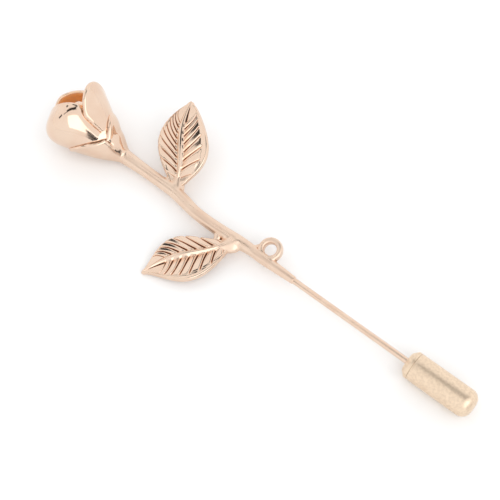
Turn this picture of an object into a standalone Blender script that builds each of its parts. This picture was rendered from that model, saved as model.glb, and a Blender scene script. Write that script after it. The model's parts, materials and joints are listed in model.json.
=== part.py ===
"""Rose stick pin: a cast rose spray, a needle soldered into its tail and a push-on clutch.

The pin lies on a surface as it would by itself. X runs along the needle, with the bud at -X
and the clutch at +X, Y runs across the spray, with the high leaf at +Y, and Z is up.
Everything is built round the centre of the eyelet, with the needle's axis at the clutch's
radius above the surface, and then moved so that the origin is the middle of the footprint.
"""

import math
from collections import namedtuple

import bmesh
import bpy
from mathutils import Matrix, Vector

# Driving sizes, in metres

BUD_LENGTH = 0.0145
BUD_RADIUS = 0.0062
PETAL_THICKNESS = 0.0008
SEPAL_THICKNESS = 0.0007

STEM_LENGTH = 0.0313
STEM_DIAMETER = 0.0021
NECK_HEIGHT = 0.001925

LEAF_LENGTH = 0.0159
LEAF_OUTER_HALF = 0.0047
LEAF_BUD_HALF = 0.0036
LEAF_THICKNESS = 0.0008
LEAF_BOW = 0.00046
LEAF_SWAY = 0.00036
LEAF_ARCH = 0.0006
RIB_DEPTH = 0.00028
BORDER_RISE = 0.00018
MIDRIB_RISE = 0.00030
RIBS = 6

EYELET_DIAMETER = 0.0037
EYELET_HOLE = 0.0021
EYELET_THICKNESS = 0.0015
EYELET_CHAMFER = 0.0002
EYELET_OFFSET = 0.00185

TAIL_LENGTH = 0.0062
TAIL_DIAMETER = 0.0013

NEEDLE_DIAMETER = 0.0010
NEEDLE_BARE_LENGTH = 0.0221
NEEDLE_GRIP_LENGTH = 0.0095
NEEDLE_POINT_LENGTH = 0.0030
SOCKET_DEPTH = 0.0028
SOCKET_CLEARANCE = 0.00005

CLUTCH_DIAMETER = 0.0046
CLUTCH_LENGTH = 0.0120
CLUTCH_BORE = 0.0013
CLUTCH_END_WALL = 0.0012
CLUTCH_END_FILLET = 0.0016
NOSE_LENGTH = 0.00125
NOSE_CHAMFER = 0.0007
NOSE_HOLE = 0.0011
SPIGOT_DIAMETER = 0.0030
SPIGOT_LENGTH = 0.0008
SEAM_GAP = 0.00005

# Angles, in degrees

BUD_RISE = 24.0
BUD_TURN = 4.0
SPRAY_ROLL = 18.0

# Sides of round things

STEM_SIDES = 14
HEART_SIDES = 20
ROUND_SIDES = 32
NEEDLE_SIDES = 16
FILLET_STEPS = 5
STEM_STEPS = 3
STALK_STEPS = 4

# Degrees that each column of a petal spans, and its rows from foot to rim

PETAL_COLUMN = 11.0
PETAL_ROWS = 10
SEPAL_ROWS = 7

# Edges that turn by more degrees than this stay sharp

SHARP_ANGLE = 35.0

# The stem's line, from its tail to the bud. Along is a share of STEM_LENGTH, sideways a share
# of STEM_DIAMETER, and girth the stem's thickness as a share of STEM_DIAMETER.

Station = namedtuple("Station", "along sideways girth")

STEM_LINE = (
    Station(0.00, 0.00, 0.90),
    Station(0.08, 0.03, 0.92),
    Station(0.17, -0.04, 1.08),
    Station(0.25, -0.12, 1.06),
    Station(0.36, -0.15, 1.00),
    Station(0.46, -0.08, 0.98),
    Station(0.55, 0.16, 1.04),
    Station(0.63, 0.34, 1.06),
    Station(0.74, 0.35, 0.98),
    Station(0.88, 0.37, 1.05),
    Station(1.00, 0.36, 1.28),
)

# Petals and sepals, each a bent sheet. Facing is the direction of its middle round the bud, in
# degrees from the top towards +Y, and left and right are its spreads to either side. The four
# pairs after them guide its profile from foot to rim: heights are shares of BUD_LENGTH and
# radii shares of BUD_RADIUS. Drop is how much of the profile is missing at either side edge,
# tuck how far that edge is drawn in, and corner how long the rim stays high before it drops.

Petal = namedtuple(
    "Petal",
    "facing left right foot waist shoulder rim left_drop right_drop left_tuck right_tuck corner",
)

PETALS = (
    Petal(-87, 110, 85, (0.10, 0.26), (0.47, 0.65), (0.82, 1.45), (0.91, 0.42), 0.30, 0.40, 0.10, 0.30, 3),
    Petal(30, 46, 73, (0.10, 0.26), (0.37, 0.53), (0.56, 0.82), (0.79, 0.98), 0.32, 0.50, 0.20, -0.10, 2),
    Petal(150, 74, 90, (0.13, 0.23), (0.53, 0.77), (0.83, 0.88), (0.975, 0.38), 0.42, 0.35, 0.05, 0.05, 2),
    Petal(-40, 160, 150, (0.13, 0.16), (0.45, 0.44), (0.68, 0.54), (0.78, 0.20), 0.15, 0.15, 0.30, -0.15, 3),
)

SEPALS = (
    Petal(-107, 78, 82, (-0.02, 0.13), (0.20, 0.53), (0.33, 0.62), (0.485, 0.80), 0.45, 0.50, 0.20, 0.0, 2),
    Petal(50, 73, 68, (-0.02, 0.13), (0.20, 0.34), (0.33, 0.71), (0.41, 0.60), 0.52, 0.45, 0.0, 0.0, 2),
    Petal(150, 63, 70, (-0.02, 0.13), (0.20, 0.58), (0.37, 0.69), (0.52, 0.80), 0.50, 0.50, 0.12, 0.35, 2),
)

# The solid heart of the bud, in which every petal has its foot: height and radius shares.

HEART = ((-0.08, 0.17), (0.00, 0.20), (0.10, 0.31), (0.20, 0.40), (0.30, 0.46), (0.40, 0.42), (0.47, 0.20))

# Leaves. Along is where the leaf leaves the stem, as a share of STEM_LENGTH. Heading is its
# angle from the stem's line towards the bud, positive to the +Y side, and roll is the slope of
# its blade, up towards +Y. Length, the half widths on the bud's side and on the outer side, and
# the stalk's girth are shares of LEAF_LENGTH, LEAF_BUD_HALF, LEAF_OUTER_HALF and STEM_DIAMETER.
# Fullness says how far the fullest place lies towards the tip, and the last two say how blunt
# the root and the tip are: less is blunter.

Leaf = namedtuple(
    "Leaf", "along heading roll length bud_half outer_half girth fullness root_blunt tip_blunt"
)

LEAVES = (
    Leaf(0.620, 60.9, 18.0, 0.995, 0.99, 0.965, 1.00, 0.94, 0.90, 0.79),
    Leaf(0.165, -56.8, 7.85, 1.005, 0.84, 0.93, 1.25, 1.16, 0.83, 1.30),
)

# Where the ribs start and end along a leaf, where each crests, and how far they slant forward,
# with the half width of the midrib and the start of the border as shares of the half width.

RIB_START = 0.07
RIB_END = 0.72
RIB_CREST = 0.75
RIB_SLANT = 0.22
MIDRIB_HALF = 0.12
BORDER_START = 0.86
RIB_EDGE = 0.06
TIP_ROWS = 4

# The stalk under the blade: how far along the leaf its waist and its end are, their girths as
# shares of the stem's, and how deep its line lies as a share of LEAF_THICKNESS.

STALK_WAIST = 0.12
STALK_WAIST_GIRTH = 0.70
STALK_END = 0.34
STALK_END_GIRTH = 0.56
STALK_SINK = 0.3

# The leaf's outline: the share of it that is bare stalk, and its least half width.

LEAF_STALK = 0.06
LEAF_TIP = 0.03

# How far the nose's chamfer bulges out: 0.5 is a straight chamfer, less is rounder

NOSE_ROUND = 0.3

# The needle's point, as shares of its length and its radius

POINT_SHOULDER = (0.6, 0.6)
POINT_TIP = 0.1

# What follows from them

NEEDLE_HEIGHT = CLUTCH_DIAMETER / 2
NEEDLE_START = TAIL_LENGTH - SOCKET_DEPTH + SEAM_GAP
CLUTCH_START = TAIL_LENGTH + NEEDLE_BARE_LENGTH
NEEDLE_END = CLUTCH_START + NEEDLE_GRIP_LENGTH


def material(name, colour, metallic, roughness):
    made = bpy.data.materials.new(name)
    made.use_nodes = True
    shader = made.node_tree.nodes["Principled BSDF"]
    shader.inputs["Base Color"].default_value = (*colour, 1.0)
    shader.inputs["Metallic"].default_value = metallic
    shader.inputs["Roughness"].default_value = roughness
    return made


def new_object(name, bm, finish=None):
    """A new object from a closed bmesh, shaded smooth apart from its sharp edges."""
    bmesh.ops.recalc_face_normals(bm, faces=bm.faces)
    mesh = bpy.data.meshes.new(name)
    bm.to_mesh(mesh)
    bm.free()
    obj = bpy.data.objects.new(name, mesh)
    bpy.context.scene.collection.objects.link(obj)
    shade(obj)
    if finish:
        mesh.materials.append(finish)
    return obj


def shade(obj):
    obj.data.shade_smooth()
    obj.data.set_sharp_from_angle(angle=math.radians(SHARP_ANGLE))


def skin(rings, loop=False):
    """A closed bmesh over a row of rings: capped at both ends, or joined end to end."""
    bm = bmesh.new()
    made = [[bm.verts.new(point) for point in ring] for ring in rings]
    following = made[1:] + made[:1] if loop else made[1:]
    for ring, after in zip(made, following):
        for index in range(len(ring)):
            other = (index + 1) % len(ring)
            bm.faces.new((ring[index], ring[other], after[other], after[index]))
    if not loop:
        bm.faces.new(reversed(made[0]))
        bm.faces.new(made[-1])
    return bm


def circle(centre, radius, across, upward, sides):
    """A ring of points round a centre, in the plane of two unit vectors."""
    turns = [2 * math.pi * index / sides for index in range(sides)]
    return [centre + radius * (math.cos(turn) * across + math.sin(turn) * upward) for turn in turns]


def turned(profile, sides, loop=False):
    """A body turned about X, from a profile of (x, radius) pairs."""
    y_axis = Vector((0, 1, 0))
    z_axis = Vector((0, 0, 1))
    rings = [circle(Vector((x, 0, 0)), radius, y_axis, z_axis, sides) for x, radius in profile]
    return skin(rings, loop)


def smooth_line(points, steps):
    """Points on a smooth curve through the given ones (Catmull-Rom)."""
    guides = [2 * points[0] - points[1]] + list(points) + [2 * points[-1] - points[-2]]
    line = []
    for index in range(len(points) - 1):
        before, start, end, after = guides[index : index + 4]
        for step in range(steps):
            t = step / steps
            line.append(
                0.5
                * (
                    2 * start
                    + (end - before) * t
                    + (2 * before - 5 * start + 4 * end - after) * t**2
                    + (3 * start - before - 3 * end + after) * t**3
                )
            )
    line.append(points[-1].copy())
    return line


def tube(stations, sides, steps):
    """A tube through four-part vectors: a place and a radius."""
    line = smooth_line([Vector(station) for station in stations], steps)
    rings = []
    for index, station in enumerate(line):
        ahead = line[min(index + 1, len(line) - 1)].to_3d()
        behind = line[max(index - 1, 0)].to_3d()
        along = (ahead - behind).normalized()
        across = along.cross(Vector((0, 0, 1))).normalized()
        rings.append(circle(station.to_3d(), station.w, across, across.cross(along), sides))
    return skin(rings)


def tangents(rows, i, j):
    """The directions of a sheet's column and of its row at one point."""
    along = rows[min(i + 1, len(rows) - 1)][j] - rows[max(i - 1, 0)][j]
    across = rows[i][min(j + 1, len(rows[i]) - 1)] - rows[i][max(j - 1, 0)]
    return along.normalized(), across.normalized()


def outward(rows, i, j):
    """The direction that leaves a sheet at a point of its edge, square to that edge."""
    along, across = tangents(rows, i, j)
    direction = Vector()
    if i in (0, len(rows) - 1):
        square = (along - along.project(across)).normalized()
        direction += square if i else -square
    if j in (0, len(rows[i]) - 1):
        square = (across - across.project(along)).normalized()
        direction += square if j else -square
    return direction.normalized()


def thick_sheet(rows, thickness, relief=None):
    """A closed sheet with a half-round edge over rows of mid-surface points, raised by a relief."""
    bm = bmesh.new()
    last_row = len(rows) - 1
    last_column = len(rows[0]) - 1
    upper = []
    lower = []
    for i, row in enumerate(rows):
        upper.append([])
        lower.append([])
        for j, point in enumerate(row):
            along, across = tangents(rows, i, j)
            normal = across.cross(along).normalized()
            raised = relief[i][j] if relief else 0.0
            upper[i].append(bm.verts.new(point + normal * (thickness / 2 + raised)))
            lower[i].append(bm.verts.new(point - normal * thickness / 2))
    for i in range(last_row):
        for j in range(last_column):
            for side in (upper, lower):
                bm.faces.new((side[i][j], side[i][j + 1], side[i + 1][j + 1], side[i + 1][j]))
    edge = [(0, j) for j in range(last_column)]
    edge += [(i, last_column) for i in range(last_row)]
    edge += [(last_row, j) for j in range(last_column, 0, -1)]
    edge += [(i, 0) for i in range(last_row, 0, -1)]
    bulge = [bm.verts.new(rows[i][j] + outward(rows, i, j) * thickness / 2) for i, j in edge]
    for index, (i, j) in enumerate(edge):
        other = (index + 1) % len(edge)
        k, m = edge[other]
        bm.faces.new((upper[i][j], upper[k][m], bulge[other], bulge[index]))
        bm.faces.new((bulge[index], bulge[other], lower[k][m], lower[i][j]))
    return bm


def combined(body, others, operation):
    """The mesh of a body after a Boolean with each of the others, which are then removed."""
    for other in others:
        other.hide_render = True
        other.display_type = "WIRE"
        boolean = body.modifiers.new(other.name, "BOOLEAN")
        boolean.operation = operation
        boolean.solver = "EXACT"
        boolean.use_self = operation == "UNION"
        boolean.object = other
    evaluated = body.evaluated_get(bpy.context.evaluated_depsgraph_get())
    result = bpy.data.meshes.new_from_object(evaluated)
    body.modifiers.clear()
    body.data = result
    for other in others:
        bpy.data.objects.remove(other)


def outer_shell(obj):
    """Keeps the largest closed shell: pockets shut in between petals are cast solid."""
    bm = bmesh.new()
    bm.from_mesh(obj.data)
    left = set(bm.verts)
    shells = []
    while left:
        start = left.pop()
        shell = [start]
        queue = [start]
        while queue:
            for edge in queue.pop().link_edges:
                for vert in edge.verts:
                    if vert in left:
                        left.remove(vert)
                        shell.append(vert)
                        queue.append(vert)
        shells.append(shell)
    shells.sort(key=len)
    for shell in shells[:-1]:
        bmesh.ops.delete(bm, geom=shell, context="VERTS")
    bm.to_mesh(obj.data)
    bm.free()


def bezier(guides, t):
    """A point of the curve that four guide pairs shape."""
    weights = ((1 - t) ** 3, 3 * t * (1 - t) ** 2, 3 * t**2 * (1 - t), t**3)
    first = sum(weight * guide[0] for weight, guide in zip(weights, guides))
    second = sum(weight * guide[1] for weight, guide in zip(weights, guides))
    return first, second


def stem_point(station):
    """A stem station's place and radius, as a four-part vector."""
    rise = NECK_HEIGHT - NEEDLE_HEIGHT
    return Vector(
        (
            -station.along * STEM_LENGTH,
            station.sideways * STEM_DIAMETER,
            NEEDLE_HEIGHT + station.along * rise,
            station.girth * STEM_DIAMETER / 2,
        )
    )


def stem_at(along):
    """The middle of the stem at a share of its length."""
    line = smooth_line([stem_point(station) for station in STEM_LINE], 8)
    nearest = min(line, key=lambda point: abs(point.x + along * STEM_LENGTH))
    return nearest.to_3d()


def bud_frame():
    """The neck and three unit vectors: along the bud, to its +Y side and to its top."""
    rise = math.radians(BUD_RISE)
    turn = math.radians(180 + BUD_TURN)
    neck = stem_point(STEM_LINE[-1]).to_3d()
    along = Vector((math.cos(rise) * math.cos(turn), math.cos(rise) * math.sin(turn), math.sin(rise)))
    side = Vector((0, 0, 1)).cross(-along).normalized()
    return neck, along, side, -along.cross(side)


def petal_rows(petal, columns, rows, edge):
    """Rows of points over a petal's mid-surface, from its foot to its rim."""
    neck, bud_axis, side, top = bud_frame()
    guides = (petal.foot, petal.waist, petal.shoulder, petal.rim)
    grid = []
    for i in range(rows + 1):
        line = []
        for j in range(columns + 1):
            u = 2 * j / columns - 1
            spread, drop, tuck = petal.right, petal.right_drop, petal.right_tuck
            if u < 0:
                spread, drop, tuck = petal.left, petal.left_drop, petal.left_tuck
            angle = math.radians(petal.facing + u * spread)
            reach = 1 - drop * edge(abs(u), petal.corner)
            height, radius = bezier(guides, reach * i / rows)
            radius *= BUD_RADIUS * (1 - tuck * u * u)
            outward = math.cos(angle) * top + math.sin(angle) * side
            line.append(neck + height * BUD_LENGTH * bud_axis + radius * outward)
        grid.append(line)
    return grid


def round_edge(u, corner):
    """A petal's rim stays high and falls steeply near its sides."""
    return u**corner


def pointed_edge(u, corner):
    """A sepal's rim falls from its point in an S."""
    return u**corner * (3 - 2 * u)


def bud():
    """The parts of the bud: its solid heart, then its petals and sepals."""
    neck, bud_axis, side, top = bud_frame()
    rings = [
        circle(neck + height * BUD_LENGTH * bud_axis, radius * BUD_RADIUS, side, top, HEART_SIDES)
        for height, radius in HEART
    ]
    parts = [new_object("bud_heart", skin(rings))]
    for petal in PETALS:
        columns = round((petal.left + petal.right) / PETAL_COLUMN)
        rows = petal_rows(petal, columns, PETAL_ROWS, round_edge)
        parts.append(new_object("petal", thick_sheet(rows, PETAL_THICKNESS)))
    for sepal in SEPALS:
        columns = round((sepal.left + sepal.right) / PETAL_COLUMN)
        rows = petal_rows(sepal, columns, SEPAL_ROWS, pointed_edge)
        parts.append(new_object("sepal", thick_sheet(rows, SEPAL_THICKNESS)))
    return parts


def leaf_frame(leaf):
    """A leaf's root on the stem and three unit vectors: along it, away from the bud, and up."""
    heading = math.radians(leaf.heading)
    roll = Matrix.Rotation(math.radians(leaf.roll), 3, "X")
    along = roll @ Vector((-math.cos(heading), math.sin(heading), 0))
    up = roll @ Vector((0, 0, 1))
    away = along.cross(up) if leaf.heading > 0 else up.cross(along)
    return stem_at(leaf.along), along, away, up


def leaf_point(leaf, q, w):
    """A point of the blade: q runs from root to tip along the ribs' feet, w from edge to edge."""
    root, along, away, up = leaf_frame(leaf)
    length = LEAF_LENGTH * leaf.length
    share = q + RIB_SLANT * abs(w) * math.sin(math.pi * q)
    half = LEAF_OUTER_HALF * leaf.outer_half if w > 0 else LEAF_BUD_HALF * leaf.bud_half
    blunt = leaf.root_blunt + (leaf.tip_blunt - leaf.root_blunt) * share
    half *= max(LEAF_TIP, math.sin(math.pi * share**leaf.fullness)) ** blunt
    bow = LEAF_SWAY * math.sin(2 * math.pi * share) - LEAF_BOW * math.sin(math.pi * share)
    arch = LEAF_ARCH * math.sin(math.pi * share)
    reach = LEAF_STALK + (1 - LEAF_STALK) * share
    return root + reach * length * along + (w * half + bow) * away + arch * up


def leaf_relief(q, w):
    """How far the face stands up: a raised midrib and border, and ribs that crest and step down."""
    if abs(w) < MIDRIB_HALF:
        return MIDRIB_RISE * math.sin(math.pi * q) * (1 - abs(w) / MIDRIB_HALF)
    if abs(w) >= BORDER_START:
        return BORDER_RISE * math.sin(math.pi * q)
    part = (q - RIB_START) / (RIB_END - RIB_START) * RIBS
    if not 0 < part < RIBS:
        return 0.0
    phase = part % 1.0
    rise = phase / RIB_CREST if phase < RIB_CREST else (1 - phase) / (1 - RIB_CREST)
    return RIB_DEPTH * (rise - 0.5)


def leaf_blade(leaf):
    """A leaf's blade, with rows at the foot, the flank and the crest of each rib."""
    pitch = (RIB_END - RIB_START) / RIBS
    phases = (0.0, RIB_CREST / 2, RIB_CREST)
    ribs = [RIB_START + pitch * (index + phase) for index in range(RIBS) for phase in phases]
    tip = [RIB_END + (1 - RIB_END) * step / TIP_ROWS for step in range(TIP_ROWS + 1)]
    rows = [0.0, RIB_START / 2] + ribs + tip
    rib_end = BORDER_START - RIB_EDGE
    half = (0.0, MIDRIB_HALF, (MIDRIB_HALF + rib_end) / 2, rib_end, BORDER_START, 1.0)
    columns = [-w for w in reversed(half[1:])] + list(half)
    if leaf.heading < 0:
        columns.reverse()
    grid = [[leaf_point(leaf, q, w) for w in columns] for q in rows]
    relief = [[leaf_relief(q, w) for w in columns] for q in rows]
    return new_object("leaf_blade", thick_sheet(grid, LEAF_THICKNESS, relief))


def leaf_stalk(leaf):
    """The stalk that carries a blade and runs out under its midrib."""
    root, along, away, up = leaf_frame(leaf)
    start = root.to_4d()
    start.w = leaf.girth * STEM_DIAMETER / 2
    sunk = LEAF_THICKNESS * STALK_SINK * up
    middle = (leaf_point(leaf, STALK_WAIST, 0.0) - sunk).to_4d()
    middle.w = STALK_WAIST_GIRTH * leaf.girth * STEM_DIAMETER / 2
    end = (leaf_point(leaf, STALK_END, 0.0) - sunk).to_4d()
    end.w = STALK_END_GIRTH * STEM_DIAMETER / 2
    return new_object("leaf_stalk", tube([start, middle, end], STEM_SIDES, STALK_STEPS))


def eyelet_frame():
    """The eyelet's centre and the matrix that lays the X axis on its own axis."""
    roll = Matrix.Rotation(math.radians(SPRAY_ROLL), 4, "X")
    centre = roll @ Vector((0, EYELET_OFFSET, 0)) + Vector((0, 0, NEEDLE_HEIGHT))
    return Matrix.Translation(centre) @ roll @ Matrix.Rotation(math.radians(-90), 4, "Y")


def eyelet():
    half = EYELET_THICKNESS / 2
    radius = EYELET_DIAMETER / 2
    bore = EYELET_HOLE / 2
    profile = (
        (-half, bore - EYELET_CHAMFER),
        (-half, radius - EYELET_CHAMFER),
        (-half + EYELET_CHAMFER, radius),
        (half - EYELET_CHAMFER, radius),
        (half, radius - EYELET_CHAMFER),
        (half, bore - EYELET_CHAMFER),
    )
    made = new_object("eyelet", turned(profile, ROUND_SIDES, loop=True))
    made.data.transform(eyelet_frame())
    return made


def eyelet_bore():
    bore = EYELET_HOLE / 2
    profile = ((-EYELET_THICKNESS, bore), (EYELET_THICKNESS, bore))
    cutter = new_object("eyelet_bore", turned(profile, ROUND_SIDES))
    cutter.data.transform(eyelet_frame())
    return cutter


def socket():
    """The drilled hole in the tail's end that takes the needle."""
    radius = NEEDLE_DIAMETER / 2 + SOCKET_CLEARANCE
    profile = ((TAIL_LENGTH - SOCKET_DEPTH, radius), (TAIL_LENGTH + SOCKET_DEPTH, radius))
    cutter = new_object("socket", turned(profile, NEEDLE_SIDES))
    cutter.data.transform(Matrix.Translation((0, 0, NEEDLE_HEIGHT)))
    return cutter


def rose_casting(finish):
    """The spray: one casting of bud, stem, leaves, eyelet and tail, drilled for the needle."""
    line = [Vector((TAIL_LENGTH, 0, NEEDLE_HEIGHT, TAIL_DIAMETER / 2))]
    line += [stem_point(station) for station in STEM_LINE]
    casting = new_object("rose_casting", tube(line, STEM_SIDES, STEM_STEPS))
    forms = bud() + [eyelet()]
    for leaf in LEAVES:
        forms += [leaf_blade(leaf), leaf_stalk(leaf)]
    combined(casting, forms, "UNION")
    combined(casting, [eyelet_bore(), socket()], "DIFFERENCE")
    outer_shell(casting)
    shade(casting)
    casting.data.materials.clear()
    casting.data.materials.append(finish)
    return casting


def needle(finish):
    """The wire, round at its soldered end and ground to a point inside the clutch."""
    radius = NEEDLE_DIAMETER / 2
    profile = (
        (NEEDLE_START, radius),
        (NEEDLE_END - NEEDLE_POINT_LENGTH, radius),
        (NEEDLE_END - NEEDLE_POINT_LENGTH * (1 - POINT_SHOULDER[0]), radius * POINT_SHOULDER[1]),
        (NEEDLE_END, radius * POINT_TIP),
    )
    made = new_object("needle", turned(profile, NEEDLE_SIDES), finish)
    made.location.z = NEEDLE_HEIGHT
    return made


def clutch_nose(finish):
    """The chamfered cap that the needle enters, with a spigot that seats in the barrel."""
    radius = CLUTCH_DIAMETER / 2
    hole = NOSE_HOLE / 2
    spigot = SPIGOT_DIAMETER / 2
    profile = (
        (0, hole),
        (0, radius - NOSE_CHAMFER),
        (NOSE_CHAMFER * NOSE_ROUND, radius - NOSE_CHAMFER * NOSE_ROUND),
        (NOSE_CHAMFER, radius),
        (NOSE_LENGTH, radius),
        (NOSE_LENGTH, spigot),
        (NOSE_LENGTH + SPIGOT_LENGTH, spigot),
        (NOSE_LENGTH + SPIGOT_LENGTH, hole),
    )
    made = new_object("clutch_nose", turned(profile, ROUND_SIDES, loop=True), finish)
    made.location = (CLUTCH_START, 0, NEEDLE_HEIGHT)
    return made


def clutch_barrel(finish):
    """The turned barrel, with a blind bore, a seat for the nose and a rounded far end."""
    radius = CLUTCH_DIAMETER / 2
    front = NOSE_LENGTH + SEAM_GAP
    seat = SPIGOT_DIAMETER / 2 + SEAM_GAP
    seat_end = front + SPIGOT_LENGTH
    bore = CLUTCH_BORE / 2
    bore_end = CLUTCH_LENGTH - CLUTCH_END_WALL
    profile = [(bore_end, bore), (seat_end, bore), (seat_end, seat), (front, seat), (front, radius)]
    for index in range(FILLET_STEPS + 1):
        turn = math.radians(90 * index / FILLET_STEPS)
        x = CLUTCH_LENGTH - CLUTCH_END_FILLET * (1 - math.sin(turn))
        profile.append((x, radius - CLUTCH_END_FILLET * (1 - math.cos(turn))))
    made = new_object("clutch_barrel", turned(profile, ROUND_SIDES), finish)
    made.location = (CLUTCH_START, 0, NEEDLE_HEIGHT)
    return made


def centre_on_footprint(objects):
    """Moves the pieces so that the origin is the middle of the box, at its lowest height."""
    bpy.context.view_layer.update()
    corners = [obj.matrix_world @ vert.co for obj in objects for vert in obj.data.vertices]
    low = Vector([min(corner[axis] for corner in corners) for axis in range(3)])
    high = Vector([max(corner[axis] for corner in corners) for axis in range(3)])
    middle = (low + high) / 2
    for obj in objects:
        obj.location -= Vector((middle.x, middle.y, low.z))


def main():
    for obj in list(bpy.data.objects):
        bpy.data.objects.remove(obj)
    rose_gold = material("rose_gold_plate", (0.96, 0.68, 0.52), 1.0, 0.12)
    needle_gold = material("needle_plate", (0.93, 0.64, 0.48), 1.0, 0.15)
    satin_brass = material("satin_brass", (0.62, 0.50, 0.36), 1.0, 0.38)
    pieces = [
        rose_casting(rose_gold),
        needle(needle_gold),
        clutch_nose(satin_brass),
        clutch_barrel(satin_brass),
    ]
    centre_on_footprint(pieces)


main()
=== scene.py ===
# %% [markdown]
# A rose stick pin, dressed for its picture
#
# The imported model is the fixed frame: it says how large every piece is and where it lies.
# The first cell loads it, and can read the box of each of its solids.

# %% Load the frame
import json
import math
from collections import namedtuple

import bmesh
import bpy
import numpy as np
from mathutils import Matrix, Vector
from mathutils.bvhtree import BVHTree

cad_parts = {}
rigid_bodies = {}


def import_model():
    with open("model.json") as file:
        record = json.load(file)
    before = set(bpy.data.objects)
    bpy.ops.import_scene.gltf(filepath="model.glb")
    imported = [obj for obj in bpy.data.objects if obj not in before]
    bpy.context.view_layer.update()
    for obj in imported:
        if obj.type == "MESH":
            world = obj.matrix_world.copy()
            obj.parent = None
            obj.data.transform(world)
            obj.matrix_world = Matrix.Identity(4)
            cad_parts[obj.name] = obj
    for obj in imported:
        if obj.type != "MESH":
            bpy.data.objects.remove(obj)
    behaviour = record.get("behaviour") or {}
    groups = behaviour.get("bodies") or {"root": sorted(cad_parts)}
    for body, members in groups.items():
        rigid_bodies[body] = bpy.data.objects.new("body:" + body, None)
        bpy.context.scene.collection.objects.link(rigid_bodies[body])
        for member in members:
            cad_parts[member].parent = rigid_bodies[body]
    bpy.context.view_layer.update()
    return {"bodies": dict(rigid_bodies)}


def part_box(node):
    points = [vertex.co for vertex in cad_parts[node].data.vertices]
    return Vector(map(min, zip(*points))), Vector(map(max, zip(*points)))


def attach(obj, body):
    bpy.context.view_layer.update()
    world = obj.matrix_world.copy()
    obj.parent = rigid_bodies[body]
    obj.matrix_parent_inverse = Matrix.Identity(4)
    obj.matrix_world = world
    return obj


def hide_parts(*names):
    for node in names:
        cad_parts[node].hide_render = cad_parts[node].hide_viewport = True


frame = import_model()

for body in frame["bodies"]:
    print("body", body)

# %% [markdown]
# The sizes of the pin
#
# The scene repeats the sizes and the few shape tables that it shares with the part's source. All
# lengths are in metres. The eyelet's centre is the point that the sizes are counted from, and the
# needle's own box says where that point lies in the frame.

# %% Sizes shared with the solids
BUD_LENGTH = 0.0145
BUD_RADIUS = 0.0062
PETAL_THICKNESS = 0.0008
SEPAL_THICKNESS = 0.0007
STEM_LENGTH = 0.0313
STEM_DIAMETER = 0.0021
NECK_HEIGHT = 0.001925
LEAF_LENGTH = 0.0159
LEAF_OUTER_HALF = 0.0047
LEAF_BUD_HALF = 0.0036
LEAF_THICKNESS = 0.0008
LEAF_BOW = 0.00046
LEAF_SWAY = 0.00036
LEAF_ARCH = 0.0006
EYELET_DIAMETER = 0.0037
EYELET_HOLE = 0.0021
EYELET_THICKNESS = 0.0015
EYELET_OFFSET = 0.00185
TAIL_LENGTH = 0.0062
TAIL_DIAMETER = 0.0013
NEEDLE_DIAMETER = 0.0010
NEEDLE_BARE_LENGTH = 0.0221
NEEDLE_POINT_LENGTH = 0.0030
SOCKET_DEPTH = 0.0028
SEAM_GAP = 0.00005
CLUTCH_DIAMETER = 0.0046
CLUTCH_LENGTH = 0.0120
NOSE_LENGTH = 0.00125
NOSE_HOLE = 0.0011
BUD_RISE = math.radians(24)
BUD_TURN = math.radians(4)
SPRAY_ROLL = math.radians(18)

NEEDLE_HEIGHT = CLUTCH_DIAMETER / 2
NEEDLE_START = TAIL_LENGTH - SOCKET_DEPTH + SEAM_GAP
needle_low, needle_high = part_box("needle")
needle_middle = (Vector(needle_low) + Vector(needle_high)) / 2
eyelet_foot = Vector((needle_low[0] - NEEDLE_START, needle_middle.y, needle_middle.z - NEEDLE_HEIGHT))
print("sizes are counted from", [round(value * 1000, 3) for value in eyelet_foot], "mm")

# %% [markdown]
# Node trees written as sums
#
# A wave of metal or a row of ribs is a formula, and a formula is easier to read as one line of
# Python than as twenty linked nodes. Value wraps a socket, and each operator adds the Math node
# that it stands for. Tree.node adds any other node from its type, its inputs and its settings.
# The same two classes serve the materials and the Geometry Nodes.


# %% The socket and tree helpers
class Value:
    """A node socket that can stand in a sum."""

    def __init__(self, tree, socket):
        self.tree = tree
        self.socket = socket

    def math(self, operation, *others):
        return self.tree.math(operation, self, *others)

    def __add__(self, other):
        return self.math("ADD", other)

    def __sub__(self, other):
        return self.math("SUBTRACT", other)

    def __rsub__(self, other):
        return self.tree.math("SUBTRACT", other, self)

    def __mul__(self, other):
        return self.math("MULTIPLY", other)

    def __truediv__(self, other):
        return self.math("DIVIDE", other)

    def __pow__(self, other):
        return self.math("POWER", other)

    def __gt__(self, other):
        return self.math("GREATER_THAN", other)

    def __lt__(self, other):
        return self.math("LESS_THAN", other)

    def __abs__(self):
        return self.math("ABSOLUTE")

    __radd__ = __add__
    __rmul__ = __mul__

    def least(self, other):
        return self.math("MINIMUM", other)

    def most(self, other):
        return self.math("MAXIMUM", other)

    def smooth(self, low, high):
        """0 below low, 1 above high and an S between them."""
        inputs = {"Value": self, "From Min": low, "From Max": high}
        return self.tree.node("ShaderNodeMapRange", inputs, interpolation_type="SMOOTHSTEP")["Result"]


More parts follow.
